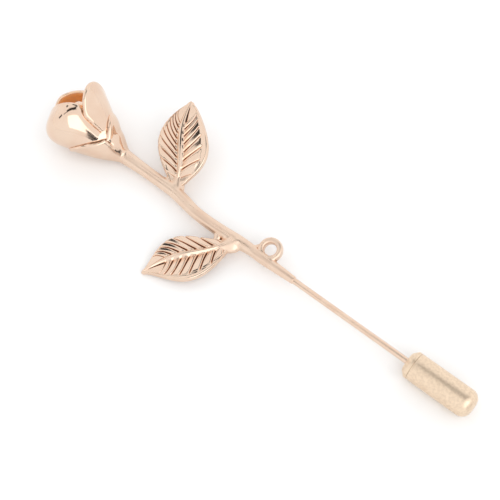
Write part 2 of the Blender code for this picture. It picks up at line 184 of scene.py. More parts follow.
class Tree:
    """A node tree whose nodes are added by type, inputs and settings."""

    def __init__(self, tree):
        self.tree = tree

    def feed(self, socket, value):
        if isinstance(value, Value):
            self.tree.links.new(value.socket, socket)
        else:
            socket.default_value = value

    def math(self, operation, *values):
        """A Math node of some values, each a socket or a number."""
        made = self.tree.nodes.new("ShaderNodeMath")
        made.operation = operation
        for slot, value in zip(made.inputs, values):
            self.feed(slot, value)
        return Value(self, made.outputs[0])

    def node(self, kind, inputs=None, **settings):
        """Adds a node, and gives its outputs by name."""
        made = self.tree.nodes.new(kind)
        for name, value in settings.items():
            setattr(made, name, value)
        for name, value in (inputs or {}).items():
            self.feed(self.slot(made, name), value)
        return {socket.name: Value(self, socket) for socket in made.outputs if socket.enabled}

    def slot(self, made, name):
        """An input by its number, or by its name among those in use."""
        if isinstance(name, int):
            return made.inputs[name]
        return next(socket for socket in made.inputs if socket.enabled and socket.name == name)

    def noise(self, place, scale, detail):
        """A noise read at a place."""
        inputs = {"Vector": place, "Scale": scale, "Detail": detail}
        return self.node("ShaderNodeTexNoise", inputs)["Fac"]

    def mix(self, share, *colours):
        """A colour between two others, each a socket or three numbers."""
        first, second = (item if isinstance(item, Value) else (*item, 1.0) for item in colours)
        inputs = {"Factor": share, "A": first, "B": second}
        return self.node("ShaderNodeMix", inputs, data_type="RGBA")["Result"]

    def surface(self, inputs):
        """Makes a Principled shader with these inputs the material's surface."""
        shader = self.node("ShaderNodeBsdfPrincipled", inputs)
        self.node("ShaderNodeOutputMaterial", {"Surface": shader["BSDF"]})


def new_finish(name):
    """An empty material and its node tree."""
    made = bpy.data.materials.new(name)
    made.use_nodes = True
    made.node_tree.nodes.clear()
    return made, Tree(made.node_tree)


# %% [markdown]
# The camera
#
# The photo was taken from high above and to the clutch's side. The angles and the distance were
# fitted to the places of the clutch, the needle and the eyelet in it.

# %% Set up the camera
CAMERA_TURN = math.radians(39.4)
CAMERA_RISE = math.radians(60)
CAMERA_ANGLE = math.radians(24)
CAMERA_FROM_EYELET = Vector((0.05724, -0.07316, 0.16610))

camera_data = bpy.data.cameras.new("camera")
camera_data.angle = CAMERA_ANGLE
camera_data.clip_start = 0.001
camera = bpy.data.objects.new("camera", camera_data)
bpy.context.scene.collection.objects.link(camera)
camera.location = CAMERA_FROM_EYELET + eyelet_foot
camera.rotation_euler = (math.pi / 2 - CAMERA_RISE, 0, CAMERA_TURN)
bpy.context.scene.camera = camera
print("camera at", [round(value * 1000, 1) for value in camera.location], "mm")

# %% [markdown]
# Rose gold plate
#
# The spray is a zinc alloy casting with a bright rose gold plate over it. The plate is a mirror,
# but the casting under it isn't quite true: it has slow waves from the mould and the polishing
# wheel, and the plate keeps them. So the colour is one metal, and the life comes from a low
# Bump and from a roughness that drifts a little. Object coordinates fix the pattern to the
# metal, so it stays put when the pin is turned.
#
# Three numbers that the meshes carry change the plate from place to place. The first is 1 in a
# crease, where the colour is painted warm and then dark: a painted warm reflection, then painted
# shade. Inner is 1 inside the bud, where a painted orange glow, with less metal and more roughness,
# stands in for the light that the metal throws back on itself. Drawn is 1 along the stem, which is
# satin with fine streaks.


# %% Make the plated metals
# Colours of painted light: a warm reflection, then a dark shade in creases, and an orange glow in the bud
PAINTED_WARM_REFLECTION = (0.80, 0.40, 0.22)
PAINTED_DARK_SHADE = (0.06, 0.03, 0.02)
PAINTED_GLOW_ORANGE = (1.0, 0.50, 0.17)
INNER_MATT = 0.95
INNER_ROUGHNESS = 0.35
DRAWN_ROUGHNESS = 0.20
DRAWN_SPREAD = 0.2
STREAK_SCALE = 3200.0
STREAK_STRETCH = 0.06
STREAK_SHARE = 0.35
FINER = 12
FINE_SHARE = 0.08


def metal(name, colour, deep_colour, roughness, drift, wave_scale, wave_height):
    """A plated metal: a colour that deepens a little in patches, painted shade and glow, low surface waves.
    """
    made, tree = new_finish(name)
    place = tree.node("ShaderNodeTexCoord")["Object"]
    broad = tree.noise(place, wave_scale, 2.0)
    fine = tree.noise(place, wave_scale * FINER, 3.0)
    stretched = tree.node("ShaderNodeMapping", {"Vector": place, "Scale": (STREAK_STRETCH, 1.0, 1.0)})
    streaks = tree.noise(stretched["Vector"], STREAK_SCALE, 3.0)
    painted_shade, inner, drawn = (
        tree.node("ShaderNodeAttribute", attribute_name=title)["Fac"]
        for title in ("painted_shade", "inner", "drawn")
    )
    shade = (painted_shade * (0.75 + 0.5 * fine)).least(1.0)
    painted_glow = (inner * (0.5 + 0.9 * fine)).least(1.0)
    shown = tree.mix(broad.smooth(0.35, 0.7), colour, deep_colour)
    # Painted shade: in a crease the colour turns to a painted warm reflection, then to painted dark shade
    shown = tree.mix(shade.smooth(0.1, 0.6), shown, PAINTED_WARM_REFLECTION)
    shown = tree.mix(shade.smooth(0.25, 0.8), shown, PAINTED_DARK_SHADE)
    # Painted glow: inside the bud the colour is painted orange, for light thrown back between the petals
    shown = tree.mix(painted_glow, shown, PAINTED_GLOW_ORANGE)
    satin = drawn * (DRAWN_ROUGHNESS + DRAWN_SPREAD * (streaks - 0.5))
    rough = roughness + INNER_ROUGHNESS * inner + drift * (fine - 0.5) + satin
    height = broad + fine * FINE_SHARE + drawn * (streaks * STREAK_SHARE)
    bump = tree.node("ShaderNodeBump", {"Height": height, "Distance": wave_height, "Strength": 1.0})
    tree.surface(
        {
            "Base Color": shown,
            "Metallic": 1.0 - INNER_MATT * inner,
            "Roughness": rough,
            "Normal": bump["Normal"],
        }
    )
    return made


rose_gold = metal("rose_gold_plate", (0.80, 0.62, 0.49), (0.77, 0.57, 0.44), 0.10, 0.05, 260.0, 0.00002)
needle_gold = metal("needle_plate", (0.79, 0.61, 0.48), (0.76, 0.56, 0.43), 0.16, 0.06, 500.0, 0.000004)
print("plated metals", rose_gold.name, needle_gold.name)

# %% [markdown]
# Satin brass
#
# The clutch is turned on a lathe and left satin, under a champagne lacquer. Turning leaves fine
# rings round the axis. They are a noise that each point reads at its place along the needle's
# axis and its distance from it, so it is the same all the way round. A second noise gives the
# lacquer its small specks.


# %% Make the satin brass
RING_SCALE = 9000.0
RING_DEPTH = 0.000012
RING_SPREAD = 0.16
SPECK_SCALE = 2600.0
SPECK_SPREAD = 0.1


def turned_brass(name, colour, deep_colour, roughness):
    """A satin metal with lathe rings and a lacquer that deepens in specks."""
    made, tree = new_finish(name)
    place = tree.node("ShaderNodeTexCoord")["Object"]
    axis = (0.0, needle_middle.y, needle_middle.z)
    offset = tree.node("ShaderNodeVectorMath", {0: place, 1: axis}, operation="SUBTRACT")["Vector"]
    parts = tree.node("ShaderNodeSeparateXYZ", {"Vector": offset})
    distance = (parts["Y"] * parts["Y"] + parts["Z"] * parts["Z"]) ** 0.5
    ring_place = tree.node("ShaderNodeCombineXYZ", {"X": parts["X"], "Y": distance, "Z": 0.0})["Vector"]
    rings = tree.noise(ring_place, RING_SCALE, 3.0)
    specks = tree.noise(place, SPECK_SCALE, 4.0)
    bump = tree.node("ShaderNodeBump", {"Height": rings, "Distance": RING_DEPTH, "Strength": 1.0})
    tree.surface(
        {
            "Base Color": tree.mix(specks.smooth(0.3, 0.75), colour, deep_colour),
            "Metallic": 1.0,
            "Roughness": roughness + RING_SPREAD * (rings - 0.5) + SPECK_SPREAD * (specks - 0.5),
            "Normal": bump["Normal"],
        }
    )
    return made


satin_brass = turned_brass("satin_brass", (0.86, 0.69, 0.52), (0.73, 0.57, 0.42), 0.32)
print("lathe finish", satin_brass.name)

# %% [markdown]
# The stem's line and the frames of what it carries
#
# The stem isn't straight: it swings past each leaf. Its stations are shares of its length and
# diameter, and a Catmull-Rom curve runs through them. The bud and both leaves hang on it, so
# each gets its own three directions here.

# %% Place the stem, the bud and the leaves
Station = namedtuple("Station", "along sideways girth")
STEM_LINE = (
    Station(0.00, 0.00, 0.90),
    Station(0.08, 0.03, 0.92),
    Station(0.17, -0.04, 1.08),
    Station(0.25, -0.12, 1.06),
    Station(0.36, -0.15, 1.00),
    Station(0.46, -0.08, 0.98),
    Station(0.55, 0.16, 1.04),
    Station(0.63, 0.34, 1.06),
    Station(0.74, 0.35, 0.98),
    Station(0.88, 0.37, 1.05),
    Station(1.00, 0.36, 1.28),
)


def stem_point(station):
    """A stem station's place and radius, as a four-part vector."""
    rise = NECK_HEIGHT - NEEDLE_HEIGHT
    place = Vector(
        (
            -station.along * STEM_LENGTH,
            station.sideways * STEM_DIAMETER,
            NEEDLE_HEIGHT + station.along * rise,
        )
    )
    return Vector((*(place + eyelet_foot), station.girth * STEM_DIAMETER / 2))


def smooth_line(points, steps):
    """Points on a smooth curve through the given ones (Catmull-Rom)."""
    guides = [2 * points[0] - points[1]] + list(points) + [2 * points[-1] - points[-2]]
    line = []
    for index in range(len(points) - 1):
        before, start, end, after = guides[index : index + 4]
        for step in range(steps):
            t = step / steps
            bend = 2 * before - 5 * start + 4 * end - after
            twist = 3 * start - before - 3 * end + after
            line.append(0.5 * (2 * start + (end - before) * t + bend * t**2 + twist * t**3))
    line.append(points[-1].copy())
    return line


def stem_at(along):
    """The middle of the stem at a share of its length."""
    line = smooth_line([stem_point(station) for station in STEM_LINE], 8)
    wanted = eyelet_foot.x - along * STEM_LENGTH
    return min(line, key=lambda point: abs(point.x - wanted)).to_3d()


Leaf = namedtuple(
    "Leaf", "name along heading roll length bud_half outer_half girth fullness root_blunt tip_blunt web"
)
LEAVES = (
    Leaf("leaf_high", 0.620, 60.9, 18.0, 0.995, 0.99, 0.965, 1.00, 0.94, 0.90, 0.79, 0.08),
    Leaf("leaf_low", 0.165, -56.8, 7.85, 1.005, 0.84, 0.93, 1.25, 1.16, 0.83, 1.30, 0.13),
)
STALK_SHARE = 0.06


def leaf_frame(leaf):
    """A leaf's root on the stem and three unit vectors: along it, away from the bud, and up."""
    heading = math.radians(leaf.heading)
    roll = Matrix.Rotation(math.radians(leaf.roll), 3, "X")
    along = roll @ Vector((-math.cos(heading), math.sin(heading), 0))
    up = roll @ Vector((0, 0, 1))
    away = along.cross(up) if leaf.heading > 0 else up.cross(along)
    return stem_at(leaf.along), along, away, up


def pointing(turn, rise):
    """The direction at an angle round Z and an angle above the table."""
    level = math.cos(rise)
    return Vector((level * math.cos(turn), level * math.sin(turn), math.sin(rise)))


neck = stem_point(STEM_LINE[-1]).to_3d()
bud_axis = pointing(math.pi + BUD_TURN, BUD_RISE)
bud_side = Vector((0, 0, 1)).cross(-bud_axis).normalized()
bud_top = -bud_axis.cross(bud_side)
print("neck at", [round(value * 1000, 2) for value in neck], "mm")

# %% [markdown]
# The leaf blade, as a rule
#
# A cast leaf repeats one motif: low mounds that slant from the midrib to a raised border, with
# a narrow groove between each two. That is a rule, so Geometry Nodes make it. A plain grid is
# wrapped into a closed blade: one direction runs from root to tip, and the other runs once round
# the section, over the face and back under it. Formulas then give each point its place. Painted
# shade for the grooves and beside the midrib, and a painted warm reflection near the midrib, are
# stored on the points too, for the plate's colour to darken and warm there.

# %% Build the leaf tree
LEAF_OUTLINE = ("Length", "Outer Half", "Bud Half", "Thickness", "Arch", "Bow", "Stalk Share", "Sway")
LEAF_ROUNDING = ("Fullness", "Root Bluntness", "Tip Bluntness")
LEAF_RIBS = ("Outer Ribs", "Bud Ribs", "Bud Border", "Serration", "Rib Start", "Rib End", "Rib Slant")
LEAF_RELIEF = ("Rib Height", "Outer Lean", "Bud Lean", "Midrib Height", "Border Height")
MIDRIB_HALF = 0.12
BORDER_START = 0.84
END_SHARE = 0.035
RIB_FOOT = 0.4
RELIEF_FADE = 0.0003
WELD_DISTANCE = 0.000001


def leaf_tree():
    """The node group that wraps a grid into a ribbed leaf blade."""
    group = bpy.data.node_groups.new("leaf_blade", "GeometryNodeTree")
    group.interface.new_socket("Geometry", in_out="INPUT", socket_type="NodeSocketGeometry")
    group.interface.new_socket("Geometry", in_out="OUTPUT", socket_type="NodeSocketGeometry")
    for name in LEAF_OUTLINE + LEAF_ROUNDING + LEAF_RIBS + LEAF_RELIEF:
        group.interface.new_socket(name, in_out="INPUT", socket_type="NodeSocketFloat")
    for name in ("Rows", "Columns"):
        group.interface.new_socket(name, in_out="INPUT", socket_type="NodeSocketInt")
    group.interface.new_socket("Finish", in_out="INPUT", socket_type="NodeSocketMaterial")
    tree = Tree(group)
    size = tree.node("NodeGroupInput")
    grid = tree.node(
        "GeometryNodeMeshGrid",
        {"Size X": 1.0, "Size Y": 1.0, "Vertices X": size["Rows"], "Vertices Y": size["Columns"]},
    )
    flat_place = tree.node("GeometryNodeInputPosition")["Position"]
    start = tree.node("ShaderNodeSeparateXYZ", {"Vector": flat_place})
    q = start["X"] + 0.5
    around = start["Y"] + 0.5
    face = around < 0.5
    across = 1.0 - abs(around * 4.0 - 2.0)
    w = (across * (math.pi / 2)).math("SINE")
    edge = abs(w)
    swell = (q * math.pi).math("SINE").most(0.0)

    # The ribs: each band is a low mound, narrow and deep between, and wider apart at the midrib
    outer = w > 0.0
    rim = size["Bud Border"] + (1.0 - size["Bud Border"]) * outer
    count = size["Outer Ribs"] * outer + size["Bud Ribs"] * (1.0 - outer)
    part = (q - size["Rib Start"]) / (size["Rib End"] - size["Rib Start"]) * count
    inside = (part > 0.0) * (part < count)
    phase = part.math("FRACT")
    off = abs(phase * 2.0 - 1.0)
    sharp = 2.5 + 4.5 * edge.smooth(0.15, 0.6)
    dip = off**sharp

    # The outline, with a half-round of half the thickness beyond the root and the tip
    radius = size["Thickness"] * 0.5
    share = q + size["Rib Slant"] * edge * swell * (1.0 - 0.5 * q)
    blunt = size["Root Bluntness"] + (size["Tip Bluntness"] - size["Root Bluntness"]) * share
    profile = ((share ** size["Fullness"]) * math.pi).math("SINE").most(0.0) ** blunt
    half = (size["Outer Half"] * outer + size["Bud Half"] * (1.0 - outer)) * profile
    half = half * (1.0 - size["Serration"] * dip * inside * (1.0 - rim) * edge.smooth(0.5, 1.0))
    tip = ((q - (1.0 - END_SHARE)) / END_SHARE).most(0.0)
    root = ((END_SHARE - q) / END_SHARE).most(0.0)
    half = half + radius * ((tip + root) * (math.pi / 2)).math("COSINE").most(0.0)
    cap = (tip * (math.pi / 2)).math("SINE") - (root * (math.pi / 2)).math("SINE")

    # The thickness falls to nothing at the edge in a half-round
    depth = half * (1.0 - edge)
    inner = (radius - depth).most(0.0)
    thick = (radius * radius - inner * inner).most(0.0) ** 0.5

    # The relief: the ribs' field, a round midrib and a raised border
    field_end = rim * (1.0 - edge.smooth(0.70, BORDER_START)) + (1.0 - rim) * (1.0 - edge.smooth(0.93, 1.0))
    field = edge.smooth(MIDRIB_HALF * 0.8, MIDRIB_HALF * 1.5) * field_end
    lean = (size["Outer Lean"] * outer + size["Bud Lean"] * (1.0 - outer)) * (phase - 0.5)
    ribs = (size["Rib Height"] * (RIB_FOOT - dip) + lean) * inside * field
    ridge = edge / MIDRIB_HALF
    midrib = size["Midrib Height"] * (1.0 - ridge * ridge).most(0.0) * (swell**0.5)
    border = size["Border Height"] * edge.smooth(BORDER_START - 0.10, BORDER_START) * swell * rim
    relief = (ribs + midrib + border) * depth.smooth(0.0, RELIEF_FADE) * face

    bend = (share * math.pi).math("SINE")
    swing = (share * (2.0 * math.pi)).math("SINE")
    reach = size["Stalk Share"] + (1.0 - size["Stalk Share"]) * share
    place = tree.node(
        "ShaderNodeCombineXYZ",
        {
            "X": reach * size["Length"] + cap * radius,
            "Y": w * half - size["Bow"] * bend + size["Sway"] * swing,
            "Z": size["Arch"] * bend + (face * 2.0 - 1.0) * thick + relief,
        },
    )["Vector"]

    # Painted shade in grooves and beside the midrib, and painted warmth near it, stored while the grid is
    # flat
    beside = edge.smooth(MIDRIB_HALF * 0.9, MIDRIB_HALF * 1.3) * (1.0 - edge.smooth(0.17, 0.26))
    painted_midrib_shade = beside * outer * q.smooth(0.66, 0.76) * (1.0 - q.smooth(0.9, 0.97))
    gloom = off ** (3.5 + 3.0 * edge)
    deep = field * inside * gloom * (1.0 - 0.4 * edge)
    near_midrib = edge.smooth(MIDRIB_HALF * 0.9, MIDRIB_HALF * 1.3) * (1.0 - edge.smooth(0.2, 0.5))
    painted_midrib_warmth = near_midrib * outer * 0.34 * q.smooth(0.05, 0.2) * (1.0 - q.smooth(0.6, 0.8))
    painted_shade = face * deep.most(painted_midrib_shade).most(painted_midrib_warmth)
    marked = tree.node(
        "GeometryNodeStoreNamedAttribute",
        {"Geometry": grid["Mesh"], "Name": "painted_shade", "Value": painted_shade},
        data_type="FLOAT",
        domain="POINT",
    )
    moved = tree.node("GeometryNodeSetPosition", {"Geometry": marked["Geometry"], "Position": place})
    merged = tree.node(
        "GeometryNodeMergeByDistance", {"Geometry": moved["Geometry"], "Distance": WELD_DISTANCE}
    )
    real = tree.node("GeometryNodeRealizeInstances", {"Geometry": merged["Geometry"]})
    finished = tree.node(
        "GeometryNodeSetMaterial", {"Geometry": real["Geometry"], "Material": size["Finish"]}
    )
    tree.node("NodeGroupOutput", {"Geometry": finished["Geometry"]})
    return group


leaf_blade_tree = leaf_tree()
print("leaf tree has", len(leaf_blade_tree.nodes), "nodes")

# %% [markdown]
# From a tree to a piece
#
# A modifier's inputs are set by their identifiers, before the object is first evaluated. The
# result is then read once into a plain mesh and the modifier goes, because a piece that rides on
# a body has to be a plain mesh.


# %% Helpers that make pieces
def add_object(name, mesh):
    made = bpy.data.objects.new(name, mesh)
    bpy.context.scene.collection.objects.link(made)
    return made


def mesh_from(bm, name):
    """A mesh with what a bmesh holds, which is then freed."""
    mesh = bpy.data.meshes.new(name)
    bm.to_mesh(mesh)
    bm.free()
    return mesh


def apply_modifiers(obj):
    """Makes an object's evaluated shape its own mesh."""
    evaluated = obj.evaluated_get(bpy.context.evaluated_depsgraph_get())
    finished = bpy.data.meshes.new_from_object(evaluated)
    obj.modifiers.clear()
    obj.data = finished
    return obj


def tidy_faces(obj):
    """Closes the seams, points the faces outwards and shades them smooth."""
    bm = bmesh.new()
    bm.from_mesh(obj.data)
    bmesh.ops.remove_doubles(bm, verts=bm.verts, dist=WELD_DISTANCE)
    bmesh.ops.dissolve_degenerate(bm, dist=0.0000001, edges=bm.edges)
    bmesh.ops.recalc_face_normals(bm, faces=bm.faces)
    open_edges = sum(1 for edge in bm.edges if len(edge.link_faces) != 2)
    bm.to_mesh(obj.data)
    bm.free()
    obj.data.shade_smooth()
    triangles = sum(len(face.vertices) - 2 for face in obj.data.polygons)
    print(obj.name, "has", triangles, "triangles and", open_edges, "open edges")


def from_tree(name, group, values):
    """A plain mesh object from a Geometry Nodes tree and its inputs."""
    obj = add_object(name, bpy.data.meshes.new(name))
    modifier = obj.modifiers.new("shape", "NODES")
    modifier.node_group = group
    sockets = {item.name: item.identifier for item in group.interface.items_tree if item.in_out == "INPUT"}
    for label, value in values.items():
        modifier[sockets[label]] = value
    return apply_modifiers(obj)


# %% [markdown]
# The two leaves
#
# Both leaves come from the one tree. The lower one is a little narrower towards the bud, and it
# lies nearly flat, while the upper one is raised with the slope of the whole spray. The table
# gives each leaf its ribs: how many on each side, how far they slant and how much they lean. The
# border is 1 for a raised one and 0 for ribs that run out to the edge.

# %% Make the leaves
Ribs = namedtuple("Ribs", "outer bud bud_border serration slant outer_lean bud_lean")
RIBS = {
    "leaf_high": Ribs(7.0, 9.0, 0.35, 0.05, 0.46, 0.00020, 0.0),
    "leaf_low": Ribs(7.0, 7.0, 0.0, 0.15, 0.34, -0.00004, 0.00012),
}
RIB_START = 0.07
RIB_END = 0.72
RIB_HEIGHT = 0.00034
MIDRIB_HEIGHT = 0.00032
BORDER_HEIGHT = 0.00020
LEAF_ROWS = 260
LEAF_COLUMNS = 181

leaf_pieces = []
for leaf in LEAVES:
    ribs = RIBS[leaf.name]
    blade = from_tree(
        leaf.name,
        leaf_blade_tree,
        {
            "Length": LEAF_LENGTH * leaf.length,
            "Outer Half": LEAF_OUTER_HALF * leaf.outer_half,
            "Bud Half": LEAF_BUD_HALF * leaf.bud_half,
            "Thickness": LEAF_THICKNESS,
            "Arch": LEAF_ARCH,
            "Bow": LEAF_BOW,
            "Stalk Share": STALK_SHARE,
            "Sway": LEAF_SWAY,
            "Fullness": leaf.fullness,
            "Root Bluntness": leaf.root_blunt,
            "Tip Bluntness": leaf.tip_blunt,
            "Outer Ribs": ribs.outer,
            "Bud Ribs": ribs.bud,
            "Bud Border": ribs.bud_border,
            "Serration": ribs.serration,
            "Rib Start": RIB_START,
            "Rib End": RIB_END,
            "Rib Slant": ribs.slant,
            "Rib Height": RIB_HEIGHT,
            "Outer Lean": ribs.outer_lean,
            "Bud Lean": ribs.bud_lean,
            "Midrib Height": MIDRIB_HEIGHT,
            "Border Height": BORDER_HEIGHT,
            "Rows": LEAF_ROWS,
            "Columns": LEAF_COLUMNS,
            "Finish": rose_gold,
        },
    )
    root, along, away, up = leaf_frame(leaf)
    blade.data.transform(Matrix.Translation(root) @ Matrix((along, away, up)).transposed().to_4x4())
    tidy_faces(blade)
    leaf_pieces.append(blade)

# %% [markdown]
# The bud
#
# Each petal of the casting is a bent sheet. Its profile runs from foot to rim as a Bezier curve,
# and it spreads to either side round the bud. The sides are cut away lower than the middle. The
# rims are rounded over: the thickness falls to nothing there in a half-round, so the rows of
# points crowd towards the edge to follow it.

# %% Make the petals and sepals
Petal = namedtuple(
    "Petal", "facing left right foot waist shoulder rim left_drop right_drop left_tuck right_tuck corner"
)
PETALS = (
    Petal(-87, 110, 85, (0.10, 0.26), (0.47, 0.65), (0.82, 1.45), (0.91, 0.42), 0.30, 0.40, 0.10, 0.30, 3),
    Petal(30, 46, 73, (0.10, 0.26), (0.37, 0.53), (0.56, 0.82), (0.79, 0.98), 0.32, 0.50, 0.10, -0.10, 2),
    Petal(150, 74, 90, (0.13, 0.23), (0.53, 0.77), (0.83, 0.88), (0.975, 0.38), 0.42, 0.35, 0.05, 0.05, 2),
    Petal(-40, 160, 150, (0.13, 0.16), (0.45, 0.44), (0.68, 0.54), (0.78, 0.20), 0.15, 0.15, 0.30, -0.15, 3),
)
SEPALS = (
    Petal(-107, 78, 82, (-0.02, 0.13), (0.20, 0.53), (0.33, 0.62), (0.485, 0.80), 0.45, 0.50, 0.20, 0.0, 2),
    Petal(50, 73, 68, (-0.02, 0.13), (0.20, 0.34), (0.33, 0.71), (0.41, 0.60), 0.52, 0.45, 0.0, 0.0, 2),
    Petal(150, 63, 70, (-0.02, 0.13), (0.20, 0.58), (0.37, 0.69), (0.52, 0.80), 0.50, 0.50, 0.12, 0.35, 2),
)
HEART = (
    (-0.08, 0.17),
    (0.00, 0.24),
    (0.08, 0.35),
    (0.17, 0.46),
    (0.30, 0.53),
    (0.45, 0.50),
    (0.58, 0.42),
    (0.66, 0.24),
    (0.68, 0.03),
)
PETAL_COLUMNS = 88
PETAL_ROWS = 56
HEART_SIDES = 64
PETAL_LIP = 0.00025
SEPAL_LIP = 0.00022
LIP_WIDTH = 0.0012


def petal_surface(petal, thickness, lip, edge):
    """Two grids for a petal: the places of its mid-surface and its half thickness there."""
    u = np.sin(np.linspace(-math.pi / 2, math.pi / 2, PETAL_COLUMNS + 1))[None, :]
    v = np.sin(np.linspace(0, math.pi / 2, PETAL_ROWS + 1))[:, None]
    left = u < 0
    spread = np.radians(np.where(left, petal.left, petal.right))
    drop = np.where(left, petal.left_drop, petal.right_drop)
    tuck = np.where(left, petal.left_tuck, petal.right_tuck)
    profile_length = BUD_LENGTH * (petal.rim[0] - petal.foot[0])
    reach = (1 - drop * edge(np.abs(u), petal.corner)) * (1 + thickness / 2 / profile_length)
    t = np.minimum(reach * v, 1.06)
    guides = (petal.foot, petal.waist, petal.shoulder, petal.rim)
    weights = ((1 - t) ** 3, 3 * t * (1 - t) ** 2, 3 * t**2 * (1 - t), t**3)
    height = sum(weight * guide[0] for weight, guide in zip(weights, guides)) * BUD_LENGTH
    radius = sum(weight * guide[1] for weight, guide in zip(weights, guides)) * BUD_RADIUS
    radius = radius * (1 - tuck * u * u)
    angle = np.radians(petal.facing) + u * spread + 0 * v
    places = (
        np.array(neck)
        + height[..., None] * np.array(bud_axis)
        + (radius * np.cos(angle))[..., None] * np.array(bud_top)
        + (radius * np.sin(angle))[..., None] * np.array(bud_side)
    )
    to_rim = (1 - v) * reach * profile_length
    to_side = (1 - np.abs(u)) * spread * np.abs(radius)
    near = np.minimum(to_rim, to_side)
    inside = np.maximum(thickness / 2 - near, 0)
    half = np.sqrt(np.maximum((thickness / 2) ** 2 - inside**2, 0))
    rolled = np.clip(1 - near / LIP_WIDTH, 0, 1) ** 2 * np.clip((v - 0.4) / 0.3, 0, 1)
    places = places + (lip * rolled)[..., None] * sheet_normals(places)
    return places, half


def sheet_normals(places):
    """The outward unit normals of a grid of places."""
    normals = np.cross(np.gradient(places, axis=1), np.gradient(places, axis=0))
    return normals / np.maximum(np.linalg.norm(normals, axis=2, keepdims=True), 1e-15)


def add_sheet(bm, places, half):
    """Adds a closed sheet to a bmesh, from its mid-surface and its half thickness."""
    normals = sheet_normals(places)
    rows, columns = half.shape
    sides = []
    for sign in (1, -1):
        points = places + sign * half[..., None] * normals
        sides.append([[bm.verts.new(point) for point in row] for row in points])
    for i in range(rows - 1):
        for j in range(columns - 1):
            for side in sides:
                bm.faces.new((side[i][j], side[i][j + 1], side[i + 1][j + 1], side[i + 1][j]))
    for j in range(columns - 1):
        bm.faces.new((sides[0][0][j], sides[0][0][j + 1], sides[1][0][j + 1], sides[1][0][j]))


def ring_points(centre, radius, across, upward, sides):
    """Points evenly round a circle."""
    turns = [2 * math.pi * index / sides for index in range(sides)]
    return [centre + radius * (math.cos(turn) * across + math.sin(turn) * upward) for turn in turns]


def add_skin(bm, rings, loop=False):
    """Adds a closed skin over a row of rings to a bmesh."""
    made = [[bm.verts.new(point) for point in ring] for ring in rings]
    following = made[1:] + made[:1] if loop else made[1:]
    for ring, after in zip(made, following):
        for index in range(len(ring)):
            other = (index + 1) % len(ring)
            bm.faces.new((ring[index], ring[other], after[other], after[index]))
    if not loop:
        bm.faces.new(reversed(made[0]))
        bm.faces.new(made[-1])


def round_edge(u, corner):
    """How low a petal's rim lies at a share of the way to its side: a round shoulder."""
    return u**corner


def pointed_edge(u, corner):
    """The same for a sepal, which is a point in the middle and falls straight from it."""
    return u**corner * (3 - 2 * u)


spray = bmesh.new()
for petal in PETALS:
    add_sheet(spray, *petal_surface(petal, PETAL_THICKNESS, PETAL_LIP, round_edge))
for sepal in SEPALS:
    add_sheet(spray, *petal_surface(sepal, SEPAL_THICKNESS, SEPAL_LIP, pointed_edge))
rings = []
for point in smooth_line([Vector((height, radius, 0)) for height, radius in HEART], 4):
    centre = neck + point.x * BUD_LENGTH * bud_axis
    rings.append(ring_points(centre, point.y * BUD_RADIUS, bud_side, bud_top, HEART_SIDES))
add_skin(spray, rings)
print("bud sheets have", len(spray.faces), "faces")

# %% [markdown]
# The stem, its stalks, the eyelet and the tail
#
# These were cast as one, and the metal runs from one into the next in small fillets. Tubes that
# just cross would leave sharp valleys, so the next section melts them into one skin. Here they
# only have to overlap. Each leaf has three tubes: a stalk that runs on under the blade, a flat
# collar that widens its foot, and a web that fills the crotch on the bud's side. Each station of
# a tube is a place and a radius. The eyelet is drawn a little too large, because melting takes
# some metal off so small a ring, and a last web joins it to the stem.


# %% Make the stem
TUBE_SIDES = 28
WEB_SIDES = 20


def add_tube(bm, stations, sides, steps, flat=1.0):
    """Adds a tube through four-part vectors, a place and a radius, flattened by a share."""
    line = smooth_line([Vector(station) for station in stations], steps)
    rings = []
    for index, station in enumerate(line):
        ahead = line[min(index + 1, len(line) - 1)].to_3d()
        behind = line[max(index - 1, 0)].to_3d()
        along = (ahead - behind).normalized()
        across = along.cross(Vector((0, 0, 1))).normalized()
        rings.append(ring_points(station.to_3d(), station.w, across, flat * across.cross(along), sides))
    add_skin(bm, rings)


def leaf_line(leaf, share):
    """A point of a leaf's midrib at a share of its length."""
    root, along, away, up = leaf_frame(leaf)
    bend = math.sin(math.pi * share)
    reach = (STALK_SHARE + (1 - STALK_SHARE) * share) * LEAF_LENGTH * leaf.length
    sideways = LEAF_SWAY * math.sin(2 * math.pi * share) - LEAF_BOW * bend
    return root + reach * along + sideways * away + LEAF_ARCH * bend * up


tail = Vector((*(Vector((TAIL_LENGTH, 0, NEEDLE_HEIGHT)) + eyelet_foot), TAIL_DIAMETER / 2))
add_tube(spray, [tail] + [stem_point(station) for station in STEM_LINE], 32, 12)
for leaf in LEAVES:
    root, along, away, up = leaf_frame(leaf)
    sunk = 0.3 * LEAF_THICKNESS * up
    start = Vector((*root, leaf.girth * STEM_DIAMETER / 2))
    waist = Vector((*(leaf_line(leaf, 0.12) - sunk), 0.70 * leaf.girth * STEM_DIAMETER / 2))
    end = Vector((*(leaf_line(leaf, 0.34) - sunk), 0.28 * STEM_DIAMETER))
    add_tube(spray, [start, waist, end], TUBE_SIDES, 12)
    collar = Vector((*(leaf_line(leaf, 0.0) - 0.5 * sunk), 1.30 * leaf.girth * STEM_DIAMETER / 2))
    blade_end = Vector((*(leaf_line(leaf, 0.15) - sunk), 0.80 * leaf.girth * STEM_DIAMETER / 2))
    add_tube(spray, [start, collar, blade_end], TUBE_SIDES, 12, flat=0.6)
    crotch = Vector((*stem_at(leaf.along + leaf.web), 0.42 * STEM_DIAMETER))
    inner_end = Vector((*(leaf_line(leaf, 0.20) - 0.0009 * away - sunk), 0.16 * STEM_DIAMETER))
    shoulder = (crotch + inner_end) / 2 + Vector((*(-0.0003 * along), 0.0))
    shoulder.w = 0.32 * STEM_DIAMETER
    add_tube(spray, [crotch, shoulder, inner_end], WEB_SIDES, 8, flat=0.8)

